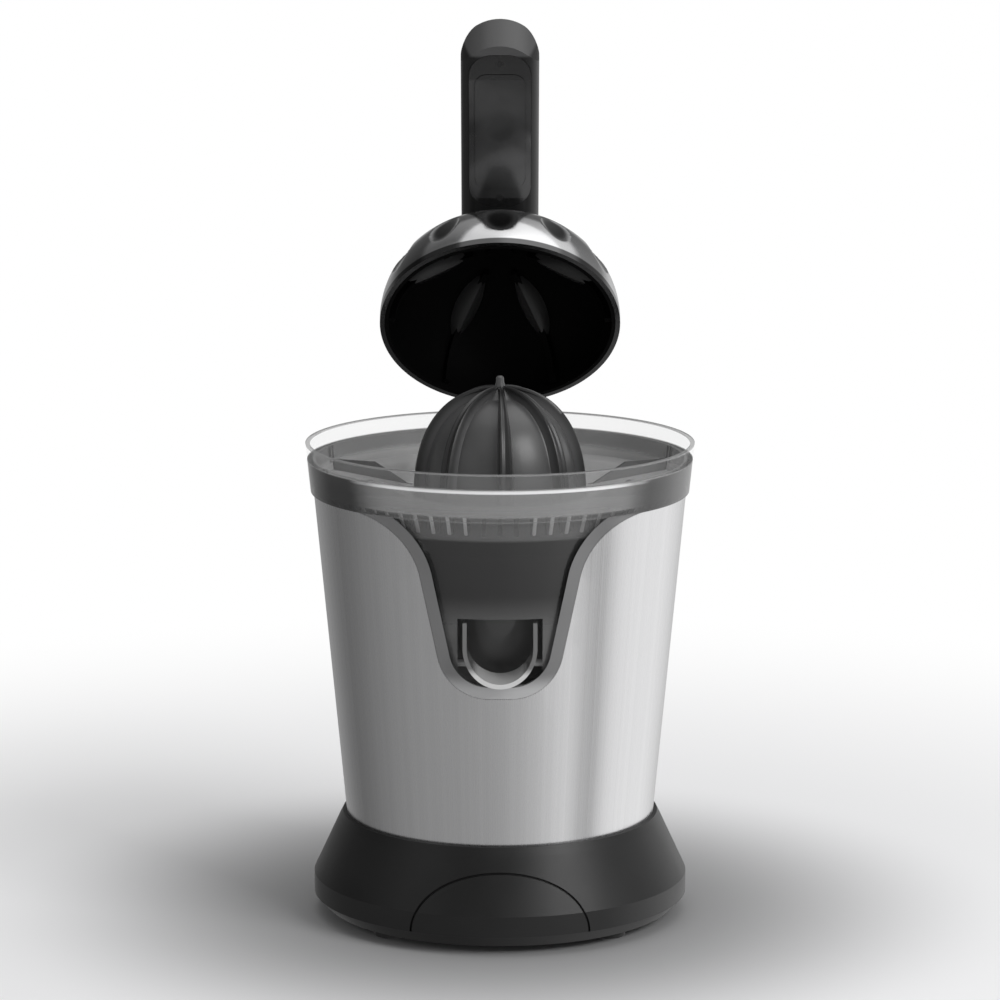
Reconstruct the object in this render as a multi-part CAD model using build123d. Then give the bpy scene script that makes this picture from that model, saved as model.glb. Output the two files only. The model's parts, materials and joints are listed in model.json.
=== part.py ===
"""Electric citrus press: motor housing, spinning reamer, drip spout and hinged press lever."""

import os
from math import acos, cos, pi, radians, sin, sqrt, tan

from build123d import *

# Frame: millimetres, +Z up, the front faces -Y, the origin is on the table under the reamer's axis.

# Shared fits
overrun = 2.0
seat_gap = 0.15
loose_gap = 0.5
running_gap = 0.05
swing_gap = 1.0

# Feet and base
foot_height = 4.0
foot_radius = 8.0
foot_count = 4
base_radius = 93.5
foot_inset = 17.5
foot_circle_radius = base_radius - foot_inset
base_chamfer = 6.0
base_skirt_height = 16.0
base_height = 47.0
base_collar = 4.0
base_wall = 2.6
base_top_round = 4.0
plate_thickness = 2.5
vent_length = 26.0
vent_width = 3.0
vent_pitch = 7.0
vent_count = 5
arch_half_width = 44.0
arch_height = 30.0
arch_groove = 1.0
arch_groove_depth = 1.2
gland_radius = 7.0
gland_bore = 3.6
gland_length = 9.0
gland_height = 12.0
gland_flange = 2.0
base_screw_radius = 1.8
base_screw_head_radius = 3.4
base_screw_head = 2.0
base_screw_length = 10.0
base_screw_inset = 31.5
base_screw_circle_radius = base_radius - base_screw_inset

# Steel body
steel_foot_inset = 16.5
steel_top_inset = 1.0
steel_height = 163.0
steel_wall = 1.0
neck_width_share = 0.7784
neck_depth = 88.0
neck_waist_share = 0.611
neck_foot_share = 0.361
neck_shoulder_drop = 3.0
neck_shoulder_share = 0.5
neck_bottom_share = 0.347
trim_width = 6.0
trim_wall = 2.2

# Juice collector
rim_height = 24.0
rim_overhang = 4.0
rim_flare_width = 2.5
collector_wall = 2.2
bowl_depth = 24.0
tube_radius = 15.0
tube_height = 12.0
chute_depth = 24.0
window_half_width = 20.5
window_height = 33.0
spout_ear_radius = 4.2
spout_ear_wall = 3.0

# Strainer
strainer_rim_drop = 8.0
strainer_wall = 1.6
basket_radius = 46.0
basket_depth = 16.0
basket_rim_drop = 5.0
strainer_bore = 18.5
slot_count = 36
slot_width = 2.4
slot_height = 11.0
fin_count = 4
fin_height = 7.0
fin_turn = 22.0

# Drip spout
spout_radius = 18.0
spout_height = 29.0
spout_wall = 2.0
spout_reach = 17.0
spout_tail = 10.0
spout_sill_gap = 2.5
spout_pin_radius = 2.0
spout_pin_lift = 8.0
spout_cut_angle = 28.0

# Reamer
reamer_radius = 43.0
reamer_height = 60.0
reamer_shares = [(1.0, 0.0), (0.965, 0.38), (0.80, 0.70), (0.45, 0.94)]
reamer_wall = 2.4
reamer_rib_count = 8
reamer_rib_width = 3.4
reamer_rib_depth = 4.5
reamer_rib_turn = 4.0
reamer_tip_radius = 2.0
reamer_tip_height = 5.0
reamer_hub_radius = 9.0

# Drive
spindle_radius = 5.0
spindle_flat_depth = 1.0
press_travel = 3.0
spindle_below_gear = 5.0
spindle_above_tube = 16.0
tower_drop = 4.0
bush_wall = 3.0
bush_length = 14.0
seal_wall = 3.5
seal_height = 3.0
deck_drop = 5.0
deck_thickness = 3.0
gear_plate_height = 118.0
gear_plate_thickness = 4.0
gear_plate_radius = 64.0
post_radius = 5.0
post_circle_radius = 56.0
post_angles = [-15, 135, 225]
plate_screw_radius = 1.8
plate_screw_head_radius = 3.4
plate_screw_head = 2.2
plate_screw_length = 12.0
motor_radius = 33.0
motor_length = 52.0
motor_wall = 2.0
stator_bore = 22.0
stator_length = 30.0
rotor_radius = 21.0
rotor_length = 34.0
motor_shaft_radius = 2.5
input_module = 1.0
output_module = 1.25
pinion_teeth = 12
wheel_teeth = 48
pressure_angle = 20.0
addendum_share = 0.75
dedendum_share = 1.1
tooth_share = 0.9
input_face = 6.0
input_gear_lift = 4.0
output_face = 9.0
output_hub_radius = 9.0
output_hub_height = 6.0
idler_pin_radius = 3.0
idler_shoulder = 5.0
idler_angle = 36.87
collar_radius = 9.5
collar_thickness = 3.0
collar_tab_reach = 20.0
spring_radius = 7.0
spring_wall = 1.4
switch_length = 20.0
switch_width = 8.0
switch_height = 3.0
switch_button_radius = 1.5

# Lever, drawn closed and then swung open
hinge_setback = 7.5
hinge_z = 170.0
open_angle = 50.0
mouth_z = 225.0
dome_radius = 61.5
dome_depth = 55.0
dome_lip = 3.0
dome_wall = 2.4
liner_wall = 1.8
flute_count = 12
flute_radius = 18.0
flute_depth = 1.6
flute_angle = 68.0
liner_rib_count = 6
liner_rib_width = 3.0
liner_rib_depth = 3.5
liner_rib_start = 14.0
handle_width = 40.0
handle_thickness = 19.0
handle_reach = 110.0
handle_slope = 17.0
handle_round = 4.0
tip_depth = 13.0
leg_width = 30.0
handle_root = 12.0
knuckle_radius = 9.0
rim_clearance = 2.0
arm_back_round = 30.0
arm_back_drop = 10.0
arm_lift = 1.5
leg_lean_height = 75.0
leg_throat_height = 92.0
boss_radius = 15.0
cover_margin = 4.0
cover_thickness = 3.0
cover_start = 22.0
cover_end_inset = 5.0
cover_round = 12.0
pad_share = 0.75
pad_thickness = 1.6
pad_proud = 0.4
pad_margin = 3.0
pad_round = 6.0
cover_screw_radius = 1.6
cover_screw_length = 9.0
cover_screw_inset = 5.0
bolt_radius = 3.0
bolt_head_radius = 6.5
bolt_head = 2.2
bolt_length = 14.0
hinge_pin_radius = 3.0
hinge_spring_radius = 5.2
hinge_spring_wall = 1.9
hinge_spring_length = 16.0
bracket_ear_wall = 6.0
bracket_ear_radius = 10.0
bracket_plate = 4.0
bracket_height = 46.0

# Places worked out from the sizes above
steel_bottom_radius = base_radius - steel_foot_inset
steel_top_radius = base_radius - steel_top_inset
base_top_radius = steel_bottom_radius + base_collar
rim_radius = steel_top_radius + rim_overhang
neck_half_width = steel_top_radius * neck_width_share
neck_waist = neck_half_width * neck_waist_share
neck_foot = neck_half_width * neck_foot_share
neck_shoulder_round = neck_half_width * neck_shoulder_share
neck_bottom_round = neck_half_width * neck_bottom_share
hinge_y = rim_radius + hinge_setback
base_bottom_z = foot_height
base_top_z = base_bottom_z + base_height
steel_top_z = base_top_z + steel_height
steel_slope_share = (steel_top_radius - steel_bottom_radius) / steel_height
rim_top_z = steel_top_z + rim_height
bowl_floor_z = steel_top_z - bowl_depth
deck_top_z = bowl_floor_z - deck_drop
neck_bottom_z = steel_top_z - neck_depth
tube_top_z = bowl_floor_z + tube_height
ledge_top_z = steel_top_z + collector_wall
basket_top_z = ledge_top_z - basket_rim_drop
basket_floor_z = basket_top_z - basket_depth
apron_inset = trim_wall + loose_gap
spout_bottom_z = neck_bottom_z + trim_width + spout_sill_gap
spout_pin_z = spout_bottom_z + spout_pin_lift
reamer_bottom_z = tube_top_z + press_travel + swing_gap
reamer_top_z = reamer_bottom_z + reamer_height
gear_plate_top_z = gear_plate_height + gear_plate_thickness
input_gear_z = gear_plate_top_z + input_gear_lift
output_gear_z = input_gear_z + input_face + press_travel + swing_gap + swing_gap
idler_top_z = output_gear_z + output_face + swing_gap
spindle_bottom_z = output_gear_z - spindle_below_gear
collar_z = spindle_bottom_z - collar_thickness
spindle_top_z = tube_top_z + spindle_above_tube
input_centres = input_module * (pinion_teeth + wheel_teeth) / 2
output_centres = output_module * (pinion_teeth + wheel_teeth) / 2
idler_x = output_centres * cos(radians(idler_angle))
idler_y = output_centres * sin(radians(idler_angle))
motor_x = idler_x - input_centres
motor_y = idler_y
pinion_top_z = input_gear_z + input_face
tower_top_z = tube_top_z - tower_drop
apex_z = mouth_z + dome_depth
arm_z = apex_z + arm_lift
bolt_seat_z = apex_z - dome_wall - seat_gap - liner_wall
slope_share = tan(radians(handle_slope))
handle_length = handle_reach / cos(radians(handle_slope))
pad_length = (handle_length - cover_start - cover_end_inset) * pad_share
ear_x = leg_width / 2 + loose_gap
hinge_axis = Axis((0, hinge_y, hinge_z), (1, 0, 0))


def steel_radius(z):
    return steel_bottom_radius + steel_slope_share * (z - base_top_z)


def ring(outer, inner, height, z):
    solid = Cylinder(outer, height, align=(Align.CENTER, Align.CENTER, Align.MIN))
    bore = Cylinder(inner, height + overrun, align=(Align.CENTER, Align.CENTER, Align.MIN))
    return Pos(0, 0, z) * (solid - Pos(0, 0, -overrun / 2) * bore)


def post(radius, height, z, x=0, y=0):
    return Pos(x, y, z) * Cylinder(radius, height, align=(Align.CENTER, Align.CENTER, Align.MIN))


def cone(bottom_radius, top_radius, bottom_z, top_z):
    height = top_z - bottom_z
    solid = Cone(bottom_radius, top_radius, height, align=(Align.CENTER, Align.CENTER, Align.MIN))
    return Pos(0, 0, bottom_z) * solid


def turned(points):
    outline = Polyline(*[(radius, 0, z) for radius, z in points], close=True)
    return revolve(make_face(outline), Axis.Z)


def save(shape, name):
    export_step(shape, "parts/" + name + ".step")


# Base and feet
def base_shell():
    skirt_z = base_bottom_z + base_skirt_height
    ledge_radius = steel_bottom_radius - steel_wall - base_wall
    outer = turned([
        (0, base_bottom_z),
        (base_radius - base_chamfer, base_bottom_z),
        (base_radius, base_bottom_z + base_chamfer),
        (base_radius, skirt_z),
        (base_top_radius, base_top_z - base_top_round),
        (base_top_radius - base_top_round / 2, base_top_z),
        (0, base_top_z),
    ])
    hollow = turned([
        (0, base_bottom_z - overrun),
        (base_radius - base_chamfer - base_wall, base_bottom_z - overrun),
        (base_radius - base_chamfer - base_wall, base_bottom_z + base_chamfer),
        (base_radius - base_wall, base_bottom_z + base_chamfer + base_wall),
        (base_radius - base_wall, skirt_z),
        (base_top_radius - base_wall, base_top_z - base_top_round - base_wall),
        (ledge_radius, base_top_z - base_top_round - base_wall),
        (ledge_radius, base_top_z + overrun),
        (0, base_top_z + overrun),
    ])
    shell = outer - hollow - arch_line() - gland_hole()
    return shell + base_bosses()


def arch_line():
    big = Ellipse(arch_half_width, arch_height)
    small = Ellipse(arch_half_width - arch_groove, arch_height - arch_groove)
    upright = Plane((0, -base_radius - overrun, base_bottom_z + base_chamfer), x_dir=(1, 0, 0), z_dir=(0, 1, 0))
    band = extrude(upright * (big - small), base_radius)
    flare = [
        (0, base_bottom_z),
        (base_radius - arch_groove_depth, base_bottom_z),
        (base_radius - arch_groove_depth, base_bottom_z + base_skirt_height),
        (base_top_radius - arch_groove_depth, base_top_z - base_top_round),
        (base_top_radius - arch_groove_depth, base_top_z),
        (0, base_top_z),
    ]
    below = Pos(0, -base_radius, base_bottom_z + base_chamfer) * Box(
        base_radius, base_radius * 2, arch_height * 4, align=(Align.CENTER, Align.CENTER, Align.MAX))
    return band - turned(flare) - below


def gland_hole():
    y = base_radius + overrun
    hole = Cylinder(gland_radius + seat_gap, base_wall + overrun * 2)
    return Pos(0, y - base_wall / 2 - overrun, base_bottom_z + gland_height) * Rot(90, 0, 0) * hole


def screw_places():
    return PolarLocations(base_screw_circle_radius, foot_count, start_angle=90 / foot_count)


def base_bosses():
    top = base_top_z - base_top_round - base_wall
    bottom = base_bottom_z + plate_thickness + seat_gap
    ceiling_bore = base_screw_circle_radius - base_screw_head_radius * 2
    ceiling = ring(base_top_radius - base_wall / 2, ceiling_bore, base_wall, top)
    boss = Cylinder(base_screw_head_radius * 1.5, top - bottom + base_wall / 2,
                    align=(Align.CENTER, Align.CENTER, Align.MIN))
    bore = Cylinder(base_screw_radius + running_gap, base_screw_length + overrun,
                    align=(Align.CENTER, Align.CENTER, Align.MIN))
    bosses = [place * (boss - Pos(0, 0, -overrun) * bore) for place in screw_places()]
    return ceiling + [Pos(0, 0, bottom) * solid for solid in bosses]


def base_plate():
    radius = base_radius - base_chamfer - base_wall - seat_gap
    plate = post(radius, plate_thickness, base_bottom_z)
    slot = extrude(SlotOverall(vent_length, vent_width), plate_thickness + overrun * 2)
    vents = [place * slot for place in GridLocations(0, vent_pitch, 1, vent_count)]
    plate = plate - [Pos(0, 0, base_bottom_z - overrun) * vent for vent in vents]
    hole = Cylinder(base_screw_radius + running_gap, plate_thickness * 2 + overrun * 2)
    sink = post(base_screw_head_radius + seat_gap, base_screw_head, 0)
    for place in screw_places():
        plate = plate - Pos(0, 0, base_bottom_z) * place * hole - Pos(0, 0, base_bottom_z) * place * sink
    return plate + plate_rim()


def plate_rim():
    outer = base_radius - base_chamfer - base_wall - seat_gap
    return ring(outer, outer - base_wall, base_chamfer, base_bottom_z)


def rubber_feet():
    foot = fillet(post(foot_radius, foot_height, 0).faces().sort_by(Axis.Z)[0].edges(), foot_height / 4)
    places = PolarLocations(foot_circle_radius, foot_count, start_angle=180 / foot_count)
    return Compound([place * foot for place in places])


def base_screws():
    head = post(base_screw_head_radius, base_screw_head - seat_gap, base_bottom_z + seat_gap)
    shank = post(base_screw_radius, base_screw_length, base_bottom_z + base_screw_head)
    return Compound([place * (head + shank) for place in screw_places()])


def cord_gland():
    body = Cylinder(gland_radius, gland_length, align=(Align.CENTER, Align.CENTER, Align.MIN))
    flange = Cylinder(gland_radius + gland_flange, gland_flange, align=(Align.CENTER, Align.CENTER, Align.MIN))
    bore = Cylinder(gland_bore, gland_length * 3)
    flange_lift = base_wall + gland_flange + seat_gap
    solid = body + Pos(0, 0, flange_lift) * flange - bore
    place = Pos(0, base_radius - base_wall - gland_flange, base_bottom_z + gland_height)
    return place * Rot(-90, 0, 0) * solid


# Steel body and its neck
def neck_face(inset):
    left = [(-neck_half_width, 0), (-neck_waist, -neck_shoulder_drop), (-neck_foot, -neck_depth)]
    right = [(-x, y) for x, y in reversed(left)]
    rounds = [neck_shoulder_round, neck_bottom_round, neck_bottom_round, neck_shoulder_round]
    curve = FilletPolyline(*left, *right, radius=rounds)
    headroom = rim_height + rim_height
    sides = Polyline(right[-1], (neck_half_width, headroom), (-neck_half_width, headroom), left[0])
    face = make_face([curve, sides])
    upright = Plane((0, -rim_radius - overrun, steel_top_z), x_dir=(1, 0, 0), z_dir=(0, -1, 0))
    return upright * (offset(face, -inset) if inset else face)


def neck_cut(inset):
    return extrude(neck_face(inset), -rim_radius)


def cone_wall(outer_inset, inner_inset, bottom_z, top_z):
    outer = cone(steel_radius(bottom_z) - outer_inset, steel_radius(top_z) - outer_inset, bottom_z, top_z)
    inner = cone(
        steel_radius(bottom_z - overrun) - inner_inset, steel_radius(top_z + overrun) - inner_inset,
        bottom_z - overrun, top_z + overrun)
    return outer - inner


def steel_body():
    return cone_wall(0, steel_wall, base_top_z, steel_top_z) - neck_cut(0)


def neck_trim():
    bottom = neck_bottom_z - overrun
    wall = cone_wall(0, trim_wall, bottom, steel_top_z)
    band = wall & (neck_cut(seat_gap) - neck_cut(trim_width))
    return band.solids().sort_by(SortBy.VOLUME)[-1]


# Juice collector, strainer and spout
def apron_radius(z):
    return steel_radius(z) - apron_inset


def spout_pin_y():
    radius = apron_radius(spout_pin_z) - spout_ear_radius
    ear_end = window_half_width + spout_ear_wall
    return -sqrt(radius ** 2 - ear_end ** 2)


def rim_radius_at(z):
    return rim_radius - rim_flare_width * (rim_top_z - z) / rim_height


def collector():
    bowl_outer = apron_radius(bowl_floor_z)
    bowl = turned([
        (tube_radius - collector_wall, bowl_floor_z),
        (bowl_outer, bowl_floor_z),
        (apron_radius(steel_top_z), steel_top_z),
        (rim_radius_at(steel_top_z), steel_top_z),
        (rim_radius, rim_top_z),
        (rim_radius - collector_wall, rim_top_z),
        (rim_radius_at(ledge_top_z) - collector_wall, ledge_top_z),
        (apron_radius(ledge_top_z) - collector_wall, ledge_top_z),
        (bowl_outer - collector_wall, bowl_floor_z + collector_wall),
        (tube_radius, bowl_floor_z + collector_wall),
        (tube_radius, tube_top_z),
        (tube_radius - collector_wall, tube_top_z),
    ])
    chute = chute_block(seat_gap, bowl_floor_z + collector_wall / 2) + spout_ears()
    hollow = chute_block(collector_wall + loose_gap, bowl_floor_z + collector_wall + overrun)
    return bowl + chute - hollow - spout_window()


def chute_block(inset, top_z):
    bottom_z = neck_bottom_z - overrun
    outer = cone(apron_radius(bottom_z) - inset, apron_radius(top_z) - inset, bottom_z, top_z)
    back = apron_inset + chute_depth - inset
    inner = cone(
        steel_radius(bottom_z - overrun) - back, steel_radius(top_z + overrun) - back,
        bottom_z - overrun, top_z + overrun)
    return ((outer - inner) & neck_cut(loose_gap + inset)).solids().sort_by(SortBy.VOLUME)[-1]


def spout_ears():
    ears = []
    for side in (-1, 1):
        x = side * (window_half_width + spout_ear_wall / 2)
        ear = Cylinder(spout_ear_radius, spout_ear_wall)
        ears.append(Pos(x, spout_pin_y(), spout_pin_z) * Rot(0, 90, 0) * ear)
    return ears


def spout_window():
    sill_z = spout_bottom_z - spout_sill_gap + loose_gap
    opening = Box(window_half_width * 2, chute_depth, window_height, align=(Align.CENTER, Align.CENTER, Align.MIN))
    front = Pos(0, -apron_radius(sill_z), sill_z) * opening
    bore_length = (window_half_width + spout_ear_wall + overrun) * 2
    bore = Cylinder(spout_pin_radius + running_gap, bore_length)
    return front + Pos(0, spout_pin_y(), spout_pin_z) * Rot(0, 90, 0) * bore


def drip_spout():
    length = spout_reach + spout_tail
    outer = trough_face(spout_radius, spout_height, spout_bottom_z)
    inner = trough_face(spout_radius - spout_wall, spout_height + overrun, spout_bottom_z + spout_wall)
    nose_y = -apron_radius(spout_bottom_z) - spout_reach
    trough = Pos(0, nose_y, 0) * extrude(outer, length)
    hollow = Pos(0, nose_y - overrun, 0) * extrude(inner, length + overrun * 2)
    pins = Cylinder(spout_pin_radius, (window_half_width + spout_ear_wall) * 2)
    pins = Pos(0, spout_pin_y(), spout_pin_z) * Rot(0, 90, 0) * pins
    middle_back = (Align.CENTER, Align.MAX, Align.CENTER)
    blade = Box(spout_radius * 4, spout_height * 4, spout_height * 6, align=middle_back)
    blade = Pos(0, nose_y, spout_bottom_z) * Rot(-spout_cut_angle, 0, 0) * blade
    return trough + pins - hollow - blade


def trough_face(radius, height, bottom_z):
    upright = Plane((0, 0, bottom_z), x_dir=(-1, 0, 0), z_dir=(0, 1, 0))
    bottom = ThreePointArc((-radius, radius), (0, 0), (radius, radius))
    sides = Polyline((radius, radius), (radius, height), (-radius, height), (-radius, radius))
    return upright * make_face([bottom, sides])


def strainer():
    foot_z = ledge_top_z + seat_gap
    rim_z = rim_top_z - strainer_rim_drop
    foot_outer = rim_radius_at(foot_z) - collector_wall - loose_gap
    rim_outer = rim_radius_at(rim_z) - collector_wall - loose_gap
    basket_inner = basket_radius - strainer_wall
    dish = turned([
        (foot_outer, foot_z),
        (rim_outer, rim_z),
        (rim_outer - strainer_wall, rim_z),
        (foot_outer - strainer_wall, foot_z + strainer_wall),
        (basket_inner, basket_top_z + strainer_wall),
        (basket_inner, basket_floor_z + strainer_wall),
        (strainer_bore, basket_floor_z + strainer_wall),
        (strainer_bore, basket_floor_z),
        (basket_radius, basket_floor_z),
        (basket_radius, basket_top_z),
        (foot_outer - collector_wall, foot_z),
    ])
    slot_z = (basket_top_z + basket_floor_z + strainer_wall) / 2
    slot = Pos(basket_radius, 0, slot_z) * Box(strainer_wall * 4, slot_width, slot_height)
    slots = [place * slot for place in PolarLocations(0, slot_count)]
    return dish + strainer_fins(foot_outer) - slots


def strainer_fins(outer):
    top_z = ledge_top_z + fin_height
    length = outer - basket_radius - strainer_wall
    fin = Pos(basket_radius + length / 2, 0, 0) * Box(
        length, strainer_wall, top_z - basket_top_z, align=(Align.CENTER, Align.CENTER, Align.MIN))
    slope = turned([
        (basket_radius, basket_top_z),
        (outer - strainer_wall / 2, ledge_top_z + strainer_wall / 2),
        (outer - strainer_wall / 2, top_z),
        (basket_radius + length / 2, top_z),
    ])
    fins = []
    for index in range(fin_count):
        side = 1 if index % 2 else -1
        turn = (index // 2) * 180 + side * fin_turn
        fins.append(Rot(0, 0, turn) * (Pos(0, 0, basket_top_z) * fin & slope))
    return fins


# Reamer
def reamer_profile(inset):
    points = [(reamer_radius * across - inset, 0, reamer_height * up) for across, up in reamer_shares]
    foot, waist, shoulder, crown = points
    top = (0, 0, reamer_height - inset)
    flank = ThreePointArc(foot, waist, shoulder)
    cap = ThreePointArc(shoulder, crown, top)
    base = Polyline(top, (0, 0, 0), foot)
    return Pos(0, 0, reamer_bottom_z) * revolve(make_face([flank, cap, base]), Axis.Z)


def reamer():
    whole = reamer_profile(0)
    core = reamer_profile(reamer_rib_depth)
    rib = Pos(0, 0, reamer_bottom_z) * Box(
        reamer_radius * 2, reamer_rib_width, reamer_height * 2, align=(Align.MIN, Align.CENTER, Align.MIN))
    spread = PolarLocations(0, reamer_rib_count, start_angle=-90 + reamer_rib_turn)
    star = post(reamer_rib_width * 2, reamer_height * 2, reamer_bottom_z) + [place * rib for place in spread]
    ribs = whole & star
    foot = ring(reamer_radius, reamer_radius - reamer_rib_depth - reamer_wall, reamer_wall, reamer_bottom_z)
    hollow = Pos(0, 0, -reamer_wall) * reamer_profile(reamer_rib_depth + reamer_wall)
    hub_height = spindle_top_z + reamer_wall - reamer_bottom_z
    hub = post(reamer_hub_radius, reamer_height - reamer_rib_depth * 2, reamer_bottom_z)
    bore = post(spindle_radius + seat_gap, hub_height - reamer_wall + seat_gap + overrun, reamer_bottom_z - overrun)
    tip = post(reamer_tip_radius, reamer_tip_height + reamer_rib_depth, reamer_top_z - reamer_rib_depth)
    return core - hollow + foot + ribs + (hub & core) + tip - bore


# Deck, gear plate and motor
def post_places():
    return [Rot(0, 0, angle) * Pos(post_circle_radius, 0, 0) for angle in post_angles]


def inner_deck():
    bottom_z = deck_top_z - deck_thickness
    inset = steel_wall + seat_gap
    plate = cone(steel_radius(bottom_z) - inset, steel_radius(deck_top_z) - inset, bottom_z, deck_top_z)
    tower_radius = tube_radius - collector_wall - loose_gap
    tower = post(tower_radius, tower_top_z - bottom_z, bottom_z)
    bore = post(spindle_radius + bush_wall + seat_gap, tower_top_z - bottom_z + overrun * 2, bottom_z - overrun)
    leg = Cylinder(post_radius, bottom_z - gear_plate_top_z, align=(Align.CENTER, Align.CENTER, Align.MIN))
    hole = Cylinder(plate_screw_radius + running_gap, plate_screw_length + overrun,
                    align=(Align.CENTER, Align.CENTER, Align.MIN))
    legs = [place * Pos(0, 0, gear_plate_top_z) * (leg - Pos(0, 0, -overrun) * hole) for place in post_places()]
    return plate + tower - bore - chute_room() + legs


def chute_room():
    back = apron_inset + chute_depth + loose_gap
    kept = cone(steel_radius(gear_plate_top_z) - back, steel_radius(rim_top_z) - back, gear_plate_top_z, rim_top_z)
    return neck_cut(0) - kept


def gear_plate():
    plate = post(gear_plate_radius, gear_plate_thickness, gear_plate_height)
    depth = gear_plate_thickness + overrun * 2
    cuts = [post(output_hub_radius, depth, gear_plate_height - overrun, motor_x, motor_y)]
    cuts.append(post(idler_pin_radius + running_gap, gear_plate_thickness * 2, gear_plate_height + overrun,
                     idler_x, idler_y))
    for place in post_places():
        cuts.append(place * post(plate_screw_radius + running_gap, gear_plate_thickness * 2 + overrun,
                                 gear_plate_height - overrun))
    return plate - cuts


def plate_screws():
    head = post(plate_screw_head_radius, plate_screw_head, gear_plate_height - plate_screw_head)
    shank = post(plate_screw_radius, plate_screw_length, gear_plate_height)
    return Compound([place * (head + shank) for place in post_places()])


def motor_can():
    bottom_z = gear_plate_height - motor_length
    can = post(motor_radius, motor_length, bottom_z)
    hollow = post(motor_radius - motor_wall, motor_length - motor_wall * 2, bottom_z + motor_wall)
    bore = post(motor_shaft_radius + running_gap, motor_length + overrun * 2, bottom_z - overrun)
    return Pos(motor_x, motor_y, 0) * (can - hollow - bore)


def motor_middle_z():
    return gear_plate_height - motor_length / 2


def motor_stator():
    bottom_z = motor_middle_z() - stator_length / 2
    inner = ring(motor_radius - motor_wall - seat_gap, stator_bore, stator_length, bottom_z)
    return Pos(motor_x, motor_y, 0) * inner


def motor_rotor():
    bottom_z = gear_plate_height - motor_length
    drum = post(rotor_radius, rotor_length, motor_middle_z() - rotor_length / 2)
    shaft = post(motor_shaft_radius, pinion_top_z - bottom_z, bottom_z)
    return Pos(motor_x, motor_y, 0) * (drum + shaft)


# Gears
def involute(angle):
    return tan(angle) - angle


def tooth_angle(module, teeth, radius):
    pitch = module * teeth / 2
    base = pitch * cos(radians(pressure_angle))
    start = involute(radians(pressure_angle)) + tooth_share * pi / (2 * teeth)
    lean = acos(min(1, base / radius))
    return start - involute(lean)


def gear_blank(module, teeth, turn):
    root = module * (teeth / 2 - dedendum_share)
    tip = module * (teeth / 2 + addendum_share)
    flank = [(radius, tooth_angle(module, teeth, radius)) for radius in (root, module * teeth / 2, tip)]
    points = []
    for tooth in range(teeth):
        centre = radians(turn) + 2 * pi * tooth / teeth
        for radius, half in flank:
            points.append((radius * cos(centre - half), radius * sin(centre - half)))
        for radius, half in reversed(flank):
            points.append((radius * cos(centre + half), radius * sin(centre + half)))
    return make_face(Polyline(*points, close=True))


def gear(module, teeth, face, z, turn):
    return Pos(0, 0, z) * extrude(gear_blank(module, teeth, turn), face)


def motor_pinion():
    body = gear(input_module, pinion_teeth, input_face, input_gear_z, 180 / pinion_teeth)
    bore = post(motor_shaft_radius + running_gap, input_face + overrun * 2, input_gear_z - overrun)
    return Pos(motor_x, motor_y, 0) * (body - bore)


def idler_gear():
    wheel = gear(input_module, wheel_teeth, input_face, input_gear_z, 180)
    small = gear(output_module, pinion_teeth, idler_top_z - pinion_top_z, pinion_top_z,
                 idler_angle + 180 + 180 / pinion_teeth)
    bore = post(idler_pin_radius + running_gap, idler_top_z - input_gear_z + overrun * 2, input_gear_z - overrun)
    return Pos(idler_x, idler_y, 0) * (wheel + small - bore)


def idler_pin():
    foot_z = gear_plate_height + overrun
    pin = post(idler_pin_radius, idler_top_z + swing_gap - foot_z, foot_z)
    shoulder = post(idler_shoulder, input_gear_lift - seat_gap, gear_plate_top_z)
    return Pos(idler_x, idler_y, 0) * (pin + shoulder)


def output_gear():
    wheel = gear(output_module, wheel_teeth, output_face, output_gear_z, idler_angle)
    hub = post(output_hub_radius, output_face + output_hub_height, output_gear_z)
    bore = post(spindle_radius + running_gap, (output_face + output_hub_height) * 2, output_gear_z - overrun)
    return wheel + hub - bore


# Spindle, its bearings and the press switch
def drive_spindle():
    shaft = post(spindle_radius, spindle_top_z - spindle_bottom_z, spindle_bottom_z)
    flat = Box(spindle_radius * 2, spindle_radius, spindle_above_tube, align=(Align.CENTER, Align.MIN, Align.MAX))
    for turn in (0, 180):
        shaft = shaft - Rot(0, 0, turn) * Pos(0, spindle_radius - spindle_flat_depth, spindle_top_z) * flat
    return shaft


def spindle_bush():
    return ring(spindle_radius + bush_wall, spindle_radius + running_gap, bush_length, tower_top_z - bush_length)


def spindle_seal():
    return ring(spindle_radius + seal_wall, spindle_radius + running_gap, seal_height, tower_top_z)


def thrust_collar():
    disc = post(collar_radius, collar_thickness, collar_z)
    tab = Pos(0, 0, collar_z) * Box(
        switch_width, collar_tab_reach, collar_thickness, align=(Align.CENTER, Align.MAX, Align.MIN))
    return disc + tab


def return_spring():
    return ring(spring_radius, spring_radius - spring_wall, collar_z - gear_plate_top_z, gear_plate_top_z)


def press_switch():
    y = -collar_tab_reach + switch_width / 2
    body = Box(switch_length, switch_width, switch_height, align=(Align.CENTER, Align.CENTER, Align.MIN))
    button_height = collar_z - press_travel - gear_plate_top_z - seat_gap
    button = Cylinder(switch_button_radius, button_height, align=(Align.CENTER, Align.CENTER, Align.MIN))
    return Pos(0, y, gear_plate_top_z) * (body + button)


# Press dome
def dome_solid(inset):
    radius = dome_radius - inset
    depth = dome_depth - dome_lip - inset
    crown = EllipticalCenterArc((0, mouth_z + dome_lip), radius, depth, start_angle=0, arc_size=90)
    low_z = mouth_z - (overrun if inset else 0)
    sides = Polyline((0, mouth_z + dome_lip + depth), (0, low_z), (radius, low_z), (radius, mouth_z + dome_lip))
    return revolve(Plane.XZ * make_face([crown, sides]), Axis.Z)


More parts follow.
